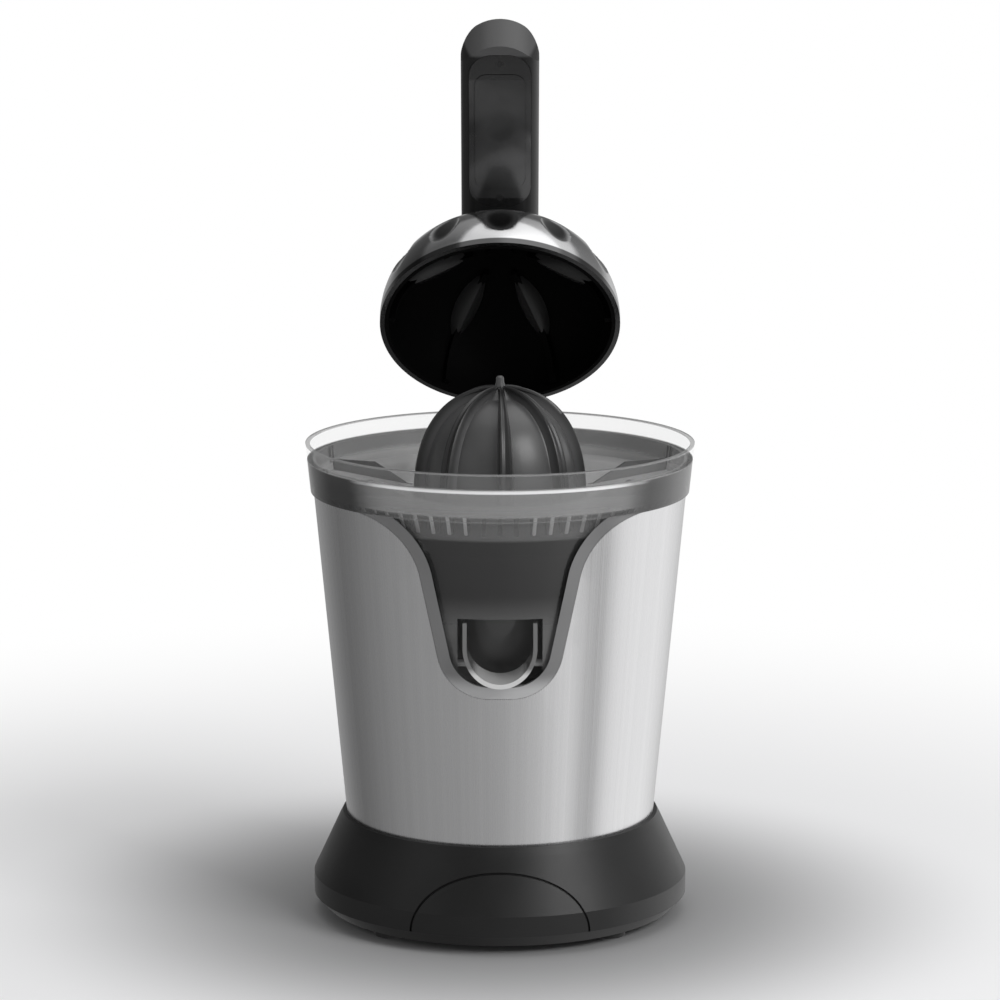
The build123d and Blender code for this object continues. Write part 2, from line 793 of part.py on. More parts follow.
def flute_cutters():
    lean = radians(flute_angle)
    depth = dome_depth - dome_lip
    spot = Vector(dome_radius * sin(lean), 0, mouth_z + dome_lip + depth * cos(lean))
    along = Vector(dome_radius * cos(lean), 0, -depth * sin(lean)).normalized()
    outward = Vector(depth * sin(lean), 0, dome_radius * cos(lean)).normalized()
    place = Plane(spot + outward * (flute_radius - flute_depth), x_dir=(0, 1, 0), z_dir=along)
    cutter = place * Cylinder(flute_radius, dome_radius)
    return [turn * cutter for turn in PolarLocations(0, flute_count)]


def bolt_hole():
    return post(bolt_radius + running_gap, bolt_length * 2 + seat_gap, bolt_seat_z - bolt_length)


def dome_shell():
    return dome_solid(0) - dome_solid(dome_wall) - flute_cutters() - bolt_hole()


def dome_liner():
    outer_inset = dome_wall + seat_gap
    inner_inset = outer_inset + liner_wall
    cup = dome_solid(outer_inset) & post(dome_radius, dome_depth, mouth_z)
    inside = dome_solid(inner_inset) & post(dome_radius, dome_depth, mouth_z + dome_lip)
    core = dome_solid(inner_inset + liner_rib_depth) + post(liner_rib_start, dome_depth * 2, mouth_z)
    plate = Pos(0, 0, mouth_z + dome_lip) * Box(
        dome_radius, liner_rib_width, dome_depth, align=(Align.MIN, Align.CENTER, Align.MIN))
    spread = [turn * plate for turn in PolarLocations(0, liner_rib_count)]
    ribs = [(plate & inside) - core for plate in spread]
    return cup - dome_solid(inner_inset) + ribs - bolt_hole() - post(
        bolt_head_radius + seat_gap, dome_depth, bolt_seat_z - dome_depth)


def dome_bolt():
    return post(bolt_head_radius, bolt_head, bolt_seat_z - bolt_head) + post(bolt_radius, bolt_length, bolt_seat_z)


# Lever arm and handle
def arm_side():
    height = handle_thickness / cos(radians(handle_slope))
    throat_y = rim_radius + rim_clearance
    back_y = hinge_y + knuckle_radius
    corner = (back_y, arm_z + height - arm_back_drop)
    outline = FilletPolyline((0, arm_z + height), corner, (back_y, hinge_z), radius=arm_back_round)
    under = Polyline(
        (back_y, hinge_z), (hinge_y - knuckle_radius, hinge_z), (throat_y, hinge_z + leg_lean_height),
        (throat_y, hinge_z + leg_throat_height), (0, arm_z), (0, arm_z + height))
    return Plane.YZ * make_face([outline, under])


def rear_leg():
    leg = extrude(arm_side(), leg_width / 2, both=True)
    crown = leg.edges().filter_by(lambda edge: abs(edge.center().X) > leg_width / 4)
    crown = crown.filter_by(lambda edge: edge.center().Z > arm_z or edge.center().Y > hinge_y + knuckle_radius / 2)
    return fillet(crown.filter_by(lambda edge: edge.center().Y > knuckle_radius), handle_round)


def handle_bar():
    section = Pos(0, -handle_thickness / 2) * RectangleRounded(handle_width, handle_thickness, handle_round * 2)
    slope = radians(handle_slope)
    root = Plane((0, 0, arm_z), x_dir=(-1, 0, 0), z_dir=(0, -cos(slope), sin(slope)))
    bar = extrude(root * section, handle_length + handle_thickness) + extrude(root * section, -handle_root)
    half = handle_width / 2
    shoulder_y = -handle_reach + tip_depth
    tip = ThreePointArc((-half, shoulder_y), (0, -handle_reach), (half, shoulder_y))
    sides = Polyline((half, shoulder_y), (half, handle_reach), (-half, handle_reach), (-half, shoulder_y))
    return bar & Pos(0, 0, mouth_z) * extrude(make_face([tip, sides]), handle_reach * 2)


def lever_arm():
    knuckle = Pos(0, hinge_y, hinge_z) * Rot(0, 90, 0) * Cylinder(knuckle_radius, leg_width)
    boss = post(boss_radius, arm_lift + dome_depth / 4, apex_z - dome_depth / 5)
    body = handle_bar() + rear_leg() + knuckle + boss - dome_solid(-seat_gap)
    return body - handle_pocket(0) - cover_screw_bores() - bolt_hole() - hinge_bore()


def handle_plane():
    slope = radians(handle_slope)
    return Plane((0, 0, arm_z), x_dir=(1, 0, 0), z_dir=(0, -sin(slope), -cos(slope)))


def cover_outline(inset):
    length = handle_length - cover_start - cover_end_inset - inset * 2
    width = handle_width - cover_margin * 2 - inset * 2
    return Pos(0, cover_start + inset + length / 2) * RectangleRounded(width, length, cover_round - inset)


def handle_pocket(inset):
    return extrude(handle_plane() * cover_outline(inset), -cover_thickness) + extrude(
        handle_plane() * cover_outline(inset), overrun)


def cover_screw_places():
    near = cover_start + cover_screw_inset
    far = handle_length - cover_end_inset - cover_screw_inset
    return [handle_plane() * Pos(0, along, 0) for along in (near, far)]


def cover_screw_bores():
    bore = Cylinder(cover_screw_radius + running_gap, cover_screw_length * 2 + overrun)
    return [place * bore for place in cover_screw_places()]


def pad_outline(inset):
    width = handle_width - cover_margin * 2 - pad_margin * 2 - inset * 2
    middle = (cover_start + handle_length - cover_end_inset) / 2
    return Pos(0, middle) * RectangleRounded(width, pad_length - inset * 2, pad_round)


def handle_cover():
    plate = extrude(handle_plane() * cover_outline(seat_gap), -cover_thickness + seat_gap)
    pocket = extrude(handle_plane() * pad_outline(0), -pad_thickness)
    return plate - pocket - cover_screw_bores()


def grip_pad():
    face = handle_plane() * pad_outline(seat_gap)
    return extrude(face, -pad_thickness + seat_gap) + extrude(face, pad_proud)


def cover_screws():
    shank = Cylinder(cover_screw_radius, cover_screw_length, align=(Align.CENTER, Align.CENTER, Align.MAX))
    return Compound([place * shank for place in cover_screw_places()])


# Hinge
def hinge_bore():
    bore = Cylinder(hinge_pin_radius + running_gap, leg_width + overrun * 2)
    room = Cylinder(hinge_spring_radius + loose_gap, hinge_spring_length + loose_gap * 2)
    return Pos(0, hinge_y, hinge_z) * Rot(0, 90, 0) * (bore + room)


def hinge_pin():
    length = (ear_x + bracket_ear_wall) * 2
    return Pos(0, hinge_y, hinge_z) * Rot(0, 90, 0) * Cylinder(hinge_pin_radius, length)


def hinge_spring():
    sleeve = Cylinder(hinge_spring_radius, hinge_spring_length) - Cylinder(
        hinge_spring_radius - hinge_spring_wall, hinge_spring_length + overrun)
    return Pos(0, hinge_y, hinge_z) * Rot(0, 90, 0) * sleeve


def hinge_bracket():
    low_z = hinge_z - bracket_height / 2
    high_z = hinge_z + bracket_height / 2
    span = (ear_x + bracket_ear_wall) * 2
    back = cone_wall(-bracket_plate, -seat_gap, low_z, high_z)
    block = Pos(0, hinge_y, hinge_z) * Box(span, bracket_ear_radius * 4, bracket_height)
    inside = cone(
        steel_radius(low_z - overrun) + seat_gap, steel_radius(high_z + overrun) + seat_gap,
        low_z - overrun, high_z + overrun)
    eye = Cylinder(bracket_ear_radius, bracket_ear_wall)
    middle_back = (Align.CENTER, Align.MAX, Align.CENTER)
    arm = Box(bracket_ear_radius * 2, bracket_ear_radius * 2, bracket_ear_wall, align=middle_back)
    ears = []
    for side in (-1, 1):
        x = side * (ear_x + bracket_ear_wall / 2)
        ears.append(Pos(x, hinge_y, hinge_z) * Rot(0, 90, 0) * (eye + arm))
    hole = Pos(0, hinge_y, hinge_z) * Rot(0, 90, 0) * Cylinder(hinge_pin_radius + running_gap, span + overrun)
    return (back & block) + [ear - inside for ear in ears] - hole


housing_pieces = [
    base_shell, base_plate, rubber_feet, base_screws, cord_gland, steel_body, neck_trim, collector, strainer,
    drip_spout, reamer, inner_deck, gear_plate, plate_screws, motor_can, motor_stator, motor_rotor, motor_pinion,
    idler_gear, idler_pin, output_gear, drive_spindle, spindle_bush, spindle_seal, thrust_collar, return_spring,
    press_switch, hinge_bracket, hinge_pin, hinge_spring,
]
lever_pieces = [dome_shell, dome_liner, dome_bolt, lever_arm, handle_cover, grip_pad, cover_screws]


def main():
    os.makedirs("parts", exist_ok=True)
    for piece in housing_pieces:
        save(piece(), piece.__name__)
    for piece in lever_pieces:
        save(piece().rotate(hinge_axis, -open_angle), piece.__name__)


if __name__ == "__main__":
    main()
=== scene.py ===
import json
from math import atan2, cos, pi, radians, sin

import bmesh
import bpy
from mathutils import Matrix, Vector


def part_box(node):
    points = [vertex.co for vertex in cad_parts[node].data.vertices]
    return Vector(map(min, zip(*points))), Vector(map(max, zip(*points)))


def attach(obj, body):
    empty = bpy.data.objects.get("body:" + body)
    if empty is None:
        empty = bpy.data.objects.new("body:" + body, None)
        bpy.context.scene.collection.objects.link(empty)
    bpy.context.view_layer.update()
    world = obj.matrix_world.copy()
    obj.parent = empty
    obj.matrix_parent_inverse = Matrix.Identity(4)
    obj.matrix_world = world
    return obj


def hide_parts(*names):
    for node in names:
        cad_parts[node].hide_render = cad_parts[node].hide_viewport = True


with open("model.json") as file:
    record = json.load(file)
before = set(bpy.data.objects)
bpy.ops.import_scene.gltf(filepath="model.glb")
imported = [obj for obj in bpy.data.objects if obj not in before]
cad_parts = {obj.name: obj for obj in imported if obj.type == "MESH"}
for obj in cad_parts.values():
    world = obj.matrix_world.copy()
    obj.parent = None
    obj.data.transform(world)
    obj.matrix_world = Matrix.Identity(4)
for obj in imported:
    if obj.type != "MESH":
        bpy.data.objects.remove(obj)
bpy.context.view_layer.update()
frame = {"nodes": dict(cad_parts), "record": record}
nodes = frame["nodes"]
joints = {joint["name"]: joint for joint in frame["record"]["behaviour"]["joints"]}
print("frame loaded:", len(nodes), "nodes")


# Wires and boards: shader and geometry maths written as expressions
class Wire:
    def __init__(self, board, socket):
        self.board = board
        self.socket = socket

    def math(self, operation, first, second):
        return self.board.add("ShaderNodeMath", {"operation": operation}, {0: first, 1: second})

    def __add__(self, other):
        return self.math("ADD", self, other)

    def __radd__(self, other):
        return self.math("ADD", other, self)

    def __sub__(self, other):
        return self.math("SUBTRACT", self, other)

    def __rsub__(self, other):
        return self.math("SUBTRACT", other, self)

    def __mul__(self, other):
        return self.math("MULTIPLY", self, other)

    def __rmul__(self, other):
        return self.math("MULTIPLY", other, self)

    def __truediv__(self, other):
        return self.math("DIVIDE", self, other)

    def __rtruediv__(self, other):
        return self.math("DIVIDE", other, self)

    def __pow__(self, other):
        return self.math("POWER", self, other)

    def __neg__(self):
        return self.math("MULTIPLY", self, -1.0)


class Board:
    def __init__(self, tree):
        self.tree = tree
        tree.nodes.clear()

    def add(self, kind, settings, sockets, output=0):
        node = self.tree.nodes.new(kind)
        for key, value in settings.items():
            if key == "stops":
                self.setStops(node.color_ramp, value)
            else:
                setattr(node, key, value)
        for key, value in sockets.items():
            if isinstance(value, Wire):
                self.tree.links.new(value.socket, node.inputs[key])
            else:
                node.inputs[key].default_value = value
        return Wire(self, node.outputs[output]) if node.outputs else node

    def setStops(self, ramp, stops):
        while len(ramp.elements) < len(stops):
            ramp.elements.new(0.5)
        for element, (place, shade) in zip(ramp.elements, stops):
            element.position = place
            element.color = (shade, shade, shade, 1.0)

    def fn(self, operation, value, other=0.0):
        return self.add("ShaderNodeMath", {"operation": operation}, {0: value, 1: other})

    def spread(self, value, low, high, start=0.0, end=1.0, smooth=True):
        settings = {"interpolation_type": "SMOOTHSTEP" if smooth else "LINEAR", "clamp": True}
        return self.add("ShaderNodeMapRange", settings, {
            "Value": value, "From Min": low, "From Max": high, "To Min": start, "To Max": end}, "Result")

    def slab(self, value, low, high, soft):
        inside = self.spread(value, low - soft, low + soft)
        return inside * self.spread(value, high - soft, high + soft, 1.0, 0.0)

    def ramp(self, value, stops):
        return self.add("ShaderNodeValToRGB", {"stops": stops}, {0: value}, "Color")

    def axes(self, vector):
        split = self.add("ShaderNodeSeparateXYZ", {}, {0: vector}).socket.node
        return [Wire(self, output) for output in split.outputs]

    def blend(self, factor, first, second):
        def shade(value):
            return value if isinstance(value, Wire) else (*value, 1.0)
        return self.add("ShaderNodeMix", {"data_type": "RGBA"}, {
            0: factor, 6: shade(first), 7: shade(second)}, 2)

    def noise(self, vector, scale, detail=3.0, roughness=0.5):
        return self.add("ShaderNodeTexNoise", {}, {
            "Vector": vector, "Scale": scale, "Detail": detail, "Roughness": roughness}, 0)

    def bump(self, height, strength, distance=0.0002):
        return self.add("ShaderNodeBump", {}, {
            "Height": height, "Strength": strength, "Distance": distance}, "Normal")


def grey(value):
    return (value, value, value * 1.01)


def newBoard(name):
    material = bpy.data.materials.new(name)
    material.use_nodes = True
    board = Board(material.node_tree)
    board.material = material
    board.place = board.add("ShaderNodeTexCoord", {}, {}, "Object")
    return board


def closeBoard(board, sockets):
    shader = board.add("ShaderNodeBsdfPrincipled", {}, sockets)
    board.add("ShaderNodeOutputMaterial", {}, {"Surface": shader})
    return board.material


# The lever stands open at rest: this turn takes what is drawn for the closed lever there
leverShape = {"mouth": 0.225, "gripTilt": radians(17.0), "gripTip": (0.0, -0.110, 0.3152)}


def leverSwing():
    hinge = joints["lever_hinge"]
    pivot = Matrix.Translation(Vector(hinge["pos_m"]))
    opened = Matrix.Rotation(-radians(hinge["range_deg"][1]), 4, "X")
    return pivot @ opened @ pivot.inverted()


leverTurn = leverSwing()
domeAxis = leverTurn.to_3x3() @ Vector((0.0, 0.0, 1.0))
domeMouth = domeAxis.dot(leverTurn @ Vector((0.0, 0.0, leverShape["mouth"])))
gripAxis = leverTurn.to_3x3() @ Vector((0.0, -cos(leverShape["gripTilt"]), sin(leverShape["gripTilt"])))
gripTip = gripAxis.dot(leverTurn @ Vector(leverShape["gripTip"]))


# Finishes
noiseSpan = (0.3, 0.7)  # most of a noise texture's values lie in here
cloudSpan = (0.35, 0.65)
paintedShadeSpan = (0.15, 0.85)


def lowTone(look):
    return [shade * (1 - look["toneSwing"]) for shade in look["colour"]]


def brushedFinish(name, look):
    board = newBoard(name)
    x, y, z = board.axes(board.place)
    turn = board.fn("ARCTAN2", x, -y)
    strokes = board.add("ShaderNodeCombineXYZ", {}, {
        0: turn * look["strokesAround"], 1: z * look["strokesUp"]})
    fine = board.noise(strokes, 1.0, detail=4.0, roughness=0.65)
    wide = board.noise(strokes, look["wideShare"], detail=2.0)
    tone = fine * look["fineWeight"] + wide * (1 - look["fineWeight"])
    tone = board.spread(tone, *noiseSpan, smooth=False)
    return closeBoard(board, {
        "Base Color": board.blend(tone, lowTone(look), look["colour"]),
        "Metallic": 1.0,
        "Roughness": board.spread(fine, *noiseSpan, look["roughLow"], look["roughHigh"]),
        "Normal": board.bump(fine, look["bump"]),
    })


def mouldedFinish(name, look):
    board = newBoard(name)
    grain = board.noise(board.place, look["grain"])
    cloud = board.noise(board.place, look["cloud"], detail=2.0)
    colour = board.blend(board.spread(cloud, *cloudSpan), lowTone(look), look["colour"])
    for zone in look.get("zones", []):
        along = board.add("ShaderNodeVectorMath", {"operation": "DOT_PRODUCT"}, {
            0: board.place, 1: zone["along"]}, "Value")
        inside = board.slab(along, zone["from"], zone["to"], zone["soft"])
        colour = board.blend(inside, colour, zone["colour"])
    # painted shade: darker where the named attribute is high, on the reamer's ribs and in the dome's flutes
    if "paintedShadeName" in look:
        paintedShade = board.add("ShaderNodeAttribute", {"attribute_name": look["paintedShadeName"]}, {}, "Fac")
        colour = board.blend(board.spread(paintedShade, *paintedShadeSpan), colour, look["paintedShadeColour"])
    return closeBoard(board, {
        "Base Color": colour,
        "Metallic": look.get("metallic", 0.0),
        "Roughness": board.spread((cloud + grain) / 2, *noiseSpan, look["roughLow"], look["roughHigh"]),
        "Specular IOR Level": look.get("specular", 0.5),
        "Coat Weight": look.get("coat", 0.0),
        "Coat Roughness": look.get("coatRough", 0.1),
        "Normal": board.bump(grain, look["bump"]),
    })


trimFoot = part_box("neck_trim")[0].z
finishes = {
    "steel": brushedFinish("verticallyBrushedSteel", {
        "colour": grey(0.66), "strokesAround": 420.0, "strokesUp": 1.0, "wideShare": 0.05,
        "fineWeight": 0.6, "toneSwing": 0.14, "roughLow": 0.22, "roughHigh": 0.34, "bump": 0.02}),
    "base": mouldedFinish("satinBlackBase", {
        "colour": grey(0.010), "grain": 2600.0, "cloud": 22.0, "toneSwing": 0.3,
        "roughLow": 0.36, "roughHigh": 0.48, "bump": 0.10, "specular": 0.38}),
    "trim": mouldedFinish("glossGreyTrim", {  # paler along its foot
        "colour": grey(0.15), "grain": 900.0, "cloud": 14.0, "toneSwing": 0.12,
        "roughLow": 0.16, "roughHigh": 0.24, "bump": 0.02, "coat": 0.6, "coatRough": 0.06,
        "zones": [{"along": (0.0, 0.0, 1.0), "from": trimFoot - 0.016, "to": trimFoot + 0.008, "soft": 0.005,
                   "colour": grey(0.42)}]}),
    # painted shade on the reamer's ribs
    "reamer": mouldedFinish("glossDarkReamer", {
        "colour": grey(0.065), "grain": 700.0, "cloud": 30.0, "toneSwing": 0.15,
        "roughLow": 0.36, "roughHigh": 0.44, "bump": 0.02, "coat": 0.12, "coatRough": 0.2,
        "paintedShadeName": "ribShade", "paintedShadeColour": grey(0.018)}),
    "dome": mouldedFinish("polishedDarkMetal", {  # painted shade in its flutes and along its mouth
        "colour": grey(0.56), "grain": 500.0, "cloud": 9.0, "toneSwing": 0.15,
        "roughLow": 0.12, "roughHigh": 0.20, "bump": 0.01, "metallic": 1.0,
        "paintedShadeName": "fluteShade", "paintedShadeColour": grey(0.035),
        "zones": [{"along": domeAxis, "from": domeMouth - 0.01, "to": domeMouth + 0.0034, "soft": 0.0004,
                   "colour": grey(0.09)}]}),
    "liner": mouldedFinish("mattBlackLiner", {
        "colour": grey(0.0015), "grain": 1800.0, "cloud": 20.0, "toneSwing": 0.3,
        "roughLow": 0.5, "roughHigh": 0.65, "bump": 0.05, "specular": 0.05}),
    "leaf": mouldedFinish("greyLeafRib", {
        "colour": grey(0.028), "grain": 900.0, "cloud": 40.0, "toneSwing": 0.3,
        "roughLow": 0.28, "roughHigh": 0.4, "bump": 0.03, "specular": 0.3}),
    "lever": mouldedFinish("satinDarkLever", {  # paler at the handle's tip
        "colour": grey(0.009), "grain": 1500.0, "cloud": 18.0, "toneSwing": 0.2,
        "roughLow": 0.32, "roughHigh": 0.42, "bump": 0.012, "specular": 0.35,
        "zones": [{"along": gripAxis, "from": gripTip - 0.006, "to": gripTip + 0.05, "soft": 0.001,
                   "colour": grey(0.060)}]}),
    "screw": mouldedFinish("darkCoverScrew", {
        "colour": grey(0.012), "grain": 1500.0, "cloud": 18.0, "toneSwing": 0.2,
        "roughLow": 0.35, "roughHigh": 0.45, "bump": 0.05}),
    "pad": mouldedFinish("smokedGripPanel", {  # painted shade at both ends
        "colour": grey(0.036), "grain": 700.0, "cloud": 26.0, "toneSwing": 0.5,
        "roughLow": 0.10, "roughHigh": 0.18, "bump": 0.02, "coat": 0.3, "coatRough": 0.05,
        "zones": [{"along": gripAxis, "from": gripTip - 0.019, "to": gripTip + 0.05, "soft": 0.0006,
                   "colour": grey(0.014)},
                  {"along": gripAxis, "from": gripTip - 0.2, "to": gripTip - 0.088, "soft": 0.0006,
                   "colour": grey(0.010)}]}),
    "tooth": mouldedFinish("paleFilterTooth", {
        "colour": grey(0.92), "grain": 900.0, "cloud": 60.0, "toneSwing": 0.1,
        "roughLow": 0.2, "roughHigh": 0.3, "bump": 0.02}),
    "rubber": mouldedFinish("blackRubber", {
        "colour": grey(0.018), "grain": 1400.0, "cloud": 30.0, "toneSwing": 0.3,
        "roughLow": 0.6, "roughHigh": 0.8, "bump": 0.2}),
    "machined": mouldedFinish("machinedSteel", {
        "colour": grey(0.55), "grain": 1200.0, "cloud": 40.0, "toneSwing": 0.15,
        "roughLow": 0.25, "roughHigh": 0.4, "bump": 0.04, "metallic": 1.0}),
    "nylon": mouldedFinish("naturalNylon", {
        "colour": (0.72, 0.69, 0.60), "grain": 1200.0, "cloud": 24.0, "toneSwing": 0.08,
        "roughLow": 0.4, "roughHigh": 0.55, "bump": 0.05}),
    "inner": mouldedFinish("blackInnerPlastic", {
        "colour": grey(0.03), "grain": 1200.0, "cloud": 24.0, "toneSwing": 0.2,
        "roughLow": 0.45, "roughHigh": 0.6, "bump": 0.1}),
    "bronze": mouldedFinish("sinteredBronze", {
        "colour": (0.60, 0.42, 0.18), "grain": 1600.0, "cloud": 40.0, "toneSwing": 0.2,
        "roughLow": 0.3, "roughHigh": 0.45, "bump": 0.1, "metallic": 1.0}),
}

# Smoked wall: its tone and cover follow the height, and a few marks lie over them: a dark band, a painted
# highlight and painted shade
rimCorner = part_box("collector")[1]
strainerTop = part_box("strainer")[1].z
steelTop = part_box("steel_body")[1].z
clearWall = {  # the marks are off here, and each piece below switches its own on
    "cloud": 18.0, "coat": 0.25, "coatRough": 0.04, "ior": 1.49,
    "rimRadius": rimCorner.x, "rimTop": rimCorner.z, "rimFlare": 0.104, "skin": (0.0008, 0.0014),
    "frontStart": 0.3, "frontSoft": 0.02,
    "bandBottom": 0.0, "bandTop": 0.1, "bandSoft": 0.0006, "bandColour": grey(0.1), "bandCover": 0.0,
    "highlightLow": 0.0, "highlightHigh": 0.0, "highlightSoft": 0.0002, "highlightColour": grey(0.85), "highlightCover": 0.0,
    "edgeShadeDepths": (0.0010, 0.0004), "edgeAndFinShadeColour": grey(0.08), "edgeShadeCover": 0.0,
    "finTurn": 0.0, "finStart": 0.0, "finSoft": 0.001, "finHalf": (0.0010, 0.0015), "finShadeCover": 0.0}


def clearFinish(name, look):
    board = newBoard(name)
    x, y, z = board.axes(board.place)
    away = board.fn("SQRT", x * x + y * y)
    turn = board.fn("ARCTAN2", x, -y)
    height = board.spread(z, look["bottom"], look["top"], smooth=False)
    shade = board.ramp(height, look["shades"])
    cover = board.add("ShaderNodeRGBToBW", {}, {0: board.ramp(height, look["covers"])})
    front = board.spread(-y, look["frontStart"], look["frontStart"] + look["frontSoft"])
    # a dark band round the sides and the back, on the outside of the wall only
    inward = look["rimRadius"] - look["rimFlare"] * (look["rimTop"] - z) - away
    band = board.slab(z, look["bandBottom"], look["bandTop"], look["bandSoft"]) * (1 - front)
    band = band * board.spread(inward, *look["skin"], 1.0, 0.0)
    # a painted highlight line across the front, and painted shade along the rim's top edge and on the fins
    line = board.slab(z, look["highlightLow"], look["highlightHigh"], look["highlightSoft"]) * front
    edgeLow, edgeHigh = [look["rimTop"] - depth for depth in look["edgeShadeDepths"]]
    edgeAndFinShade = board.spread(z, edgeLow, edgeHigh) * look["edgeShadeCover"]
    fromSide = board.fn("ABSOLUTE", board.fn("ABSOLUTE", turn) - pi / 2)
    aside = board.fn("ABSOLUTE", fromSide - look["finTurn"]) * away
    finShade = board.spread(aside, *look["finHalf"], 1.0, 0.0) * look["finShadeCover"]
    finShade = finShade * board.spread(away, look["finStart"], look["finStart"] + look["finSoft"])
    edgeAndFinShade = board.fn("MAXIMUM", edgeAndFinShade, finShade)
    colour = board.blend(band, shade, look["bandColour"])
    colour = board.blend(line, colour, look["highlightColour"])
    colour = board.blend(edgeAndFinShade, colour, look["edgeAndFinShadeColour"])
    marks = board.fn("MAXIMUM", line * look["highlightCover"], edgeAndFinShade)
    marks = board.fn("MAXIMUM", band * look["bandCover"], marks)
    cloud = board.noise(board.place, look["cloud"], detail=2.0)
    return closeBoard(board, {
        "Base Color": colour,
        "Alpha": board.fn("MAXIMUM", cover, marks),
        "Roughness": board.spread(cloud, *noiseSpan, look["roughLow"], look["roughHigh"]),
        "Coat Weight": look["coat"],
        "Coat Roughness": look["coatRough"],
        "IOR": look["ior"],
    })


# painted highlight across the front at the strainer's rim height, and painted shade along the top edge
finishes["collector"] = clearFinish("smokedCollector", {
    **clearWall, "bottom": 0.124, "top": 0.240, "roughLow": 0.05, "roughHigh": 0.10,
    "shades": [(0.0, 0.16), (0.30, 0.12), (0.42, 0.04), (0.45, 0.026), (0.69, 0.032), (0.70, 0.26),
               (0.895, 0.30), (0.913, 0.6)],
    "covers": [(0.0, 0.85), (0.42, 0.80), (0.45, 0.75), (0.69, 0.72), (0.70, 0.28), (0.79, 0.28),
               (0.81, 0.58), (0.895, 0.50), (0.913, 0.07)],
    "frontStart": 0.060, "bandBottom": steelTop - 0.0005, "bandTop": strainerTop, "bandColour": grey(0.022),
    "bandCover": 0.92, "highlightLow": strainerTop - 0.0016, "highlightHigh": strainerTop - 0.0002, "highlightCover": 0.85,
    "edgeShadeCover": 0.65})
# painted shade along the top edge and on the fins
finishes["strainer"] = clearFinish("smokedStrainer", {
    **clearWall, "bottom": 0.190, "top": 0.240, "roughLow": 0.08, "roughHigh": 0.15,
    "shades": [(0.0, 0.22), (0.4, 0.34), (0.46, 0.58), (0.62, 0.66), (0.68, 0.6)],
    "covers": [(0.0, 0.8), (0.4, 0.75), (0.46, 0.65), (0.62, 0.5), (0.68, 0.14)],
    "rimTop": strainerTop, "edgeShadeCover": 0.5, "finTurn": radians(22.0), "finStart": 0.047, "finShadeCover": 0.9})
finishes["spout"] = clearFinish("smokedSpout", {
    **clearWall, "bottom": 0.130, "top": 0.170, "roughLow": 0.06, "roughHigh": 0.12,
    "shades": [(0.0, 0.6), (0.26, 0.6), (0.34, 0.16), (1.0, 0.18)],
    "covers": [(0.0, 0.9), (0.26, 0.9), (0.34, 0.85), (1.0, 0.80)]})

finishOf = {
    "base_shell": "base", "base_plate": "base", "rubber_feet": "rubber", "base_screws": "machined",
    "cord_gland": "rubber", "steel_body": "steel", "neck_trim": "trim", "collector": "collector",
    "strainer": "strainer", "drip_spout": "spout", "reamer": "reamer", "inner_deck": "inner",
    "gear_plate": "machined", "plate_screws": "machined", "motor_can": "machined", "motor_stator": "machined",
    "motor_rotor": "machined", "motor_pinion": "machined", "idler_gear": "nylon", "idler_pin": "machined",
    "output_gear": "nylon", "drive_spindle": "machined", "spindle_bush": "bronze", "spindle_seal": "rubber",
    "thrust_collar": "nylon", "return_spring": "machined", "press_switch": "inner", "hinge_bracket": "lever",
    "hinge_pin": "machined", "hinge_spring": "machined", "dome_shell": "dome", "dome_liner": "liner",
    "dome_bolt": "liner", "lever_arm": "lever", "handle_cover": "pad", "grip_pad": "pad",
    "cover_screws": "screw",
}
for nodeName, finish in finishOf.items():
    nodes[nodeName].data.materials.clear()
    nodes[nodeName].data.materials.append(finishes[finish])
print("finishes set:", len(finishOf))


# Geometry Nodes workshop
seamGap = 1e-5
weldGap = 1e-6


def newPattern(name, inputs):
    tree = bpy.data.node_groups.new(name, "GeometryNodeTree")
    board = Board(tree)
    board.names = {}
    tree.interface.new_socket("Geometry", in_out="INPUT", socket_type="NodeSocketGeometry")
    for label, kind in inputs.items():
        socket = tree.interface.new_socket(label, in_out="INPUT", socket_type=kind)
        board.names[label] = socket.identifier
    tree.interface.new_socket("Geometry", in_out="OUTPUT", socket_type="NodeSocketGeometry")
    given = tree.nodes.new("NodeGroupInput")
    board.given = {output.name: Wire(board, output) for output in given.outputs if output.name}
    return board


def closePattern(board, geometry):
    whole = board.add("GeometryNodeRealizeInstances", {}, {"Geometry": geometry})
    painted = board.add("GeometryNodeSetMaterial", {}, {"Geometry": whole, "Material": board.given["Finish"]})
    board.add("NodeGroupOutput", {}, {"Geometry": painted})
    return board


def placeObject(name, data):
    item = bpy.data.objects.new(name, data)
    bpy.context.collection.objects.link(item)
    return item


def takeMesh(holder):
    bpy.context.view_layer.update()
    mesh = bpy.data.meshes.new_from_object(holder.evaluated_get(bpy.context.evaluated_depsgraph_get()))
    bpy.data.objects.remove(holder)
    return mesh


def growMesh(name, board, values, source=None):
    holder = placeObject(name + "Holder", source or bpy.data.meshes.new(name + "Seed"))
    modifier = holder.modifiers.new("pattern", "NODES")
    modifier.node_group = board.tree
    for label, value in values.items():
        modifier[board.names[label]] = value
    mesh = takeMesh(holder)
    mesh.name = name
    return mesh


def standPiece(name, mesh, finish, body, smoothAngle, replaced=()):
    mesh.materials.clear()
    mesh.materials.append(finishes[finish])
    mesh.polygons.foreach_set("material_index", [0] * len(mesh.polygons))
    mesh.shade_smooth()
    mesh.set_sharp_from_angle(angle=smoothAngle)
    piece = placeObject(name, mesh)
    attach(piece, body)
    if replaced:
        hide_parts(*replaced)


def meshOf(name, sketch):
    mesh = bpy.data.meshes.new(name)
    sketch.to_mesh(mesh)
    sketch.free()
    return mesh


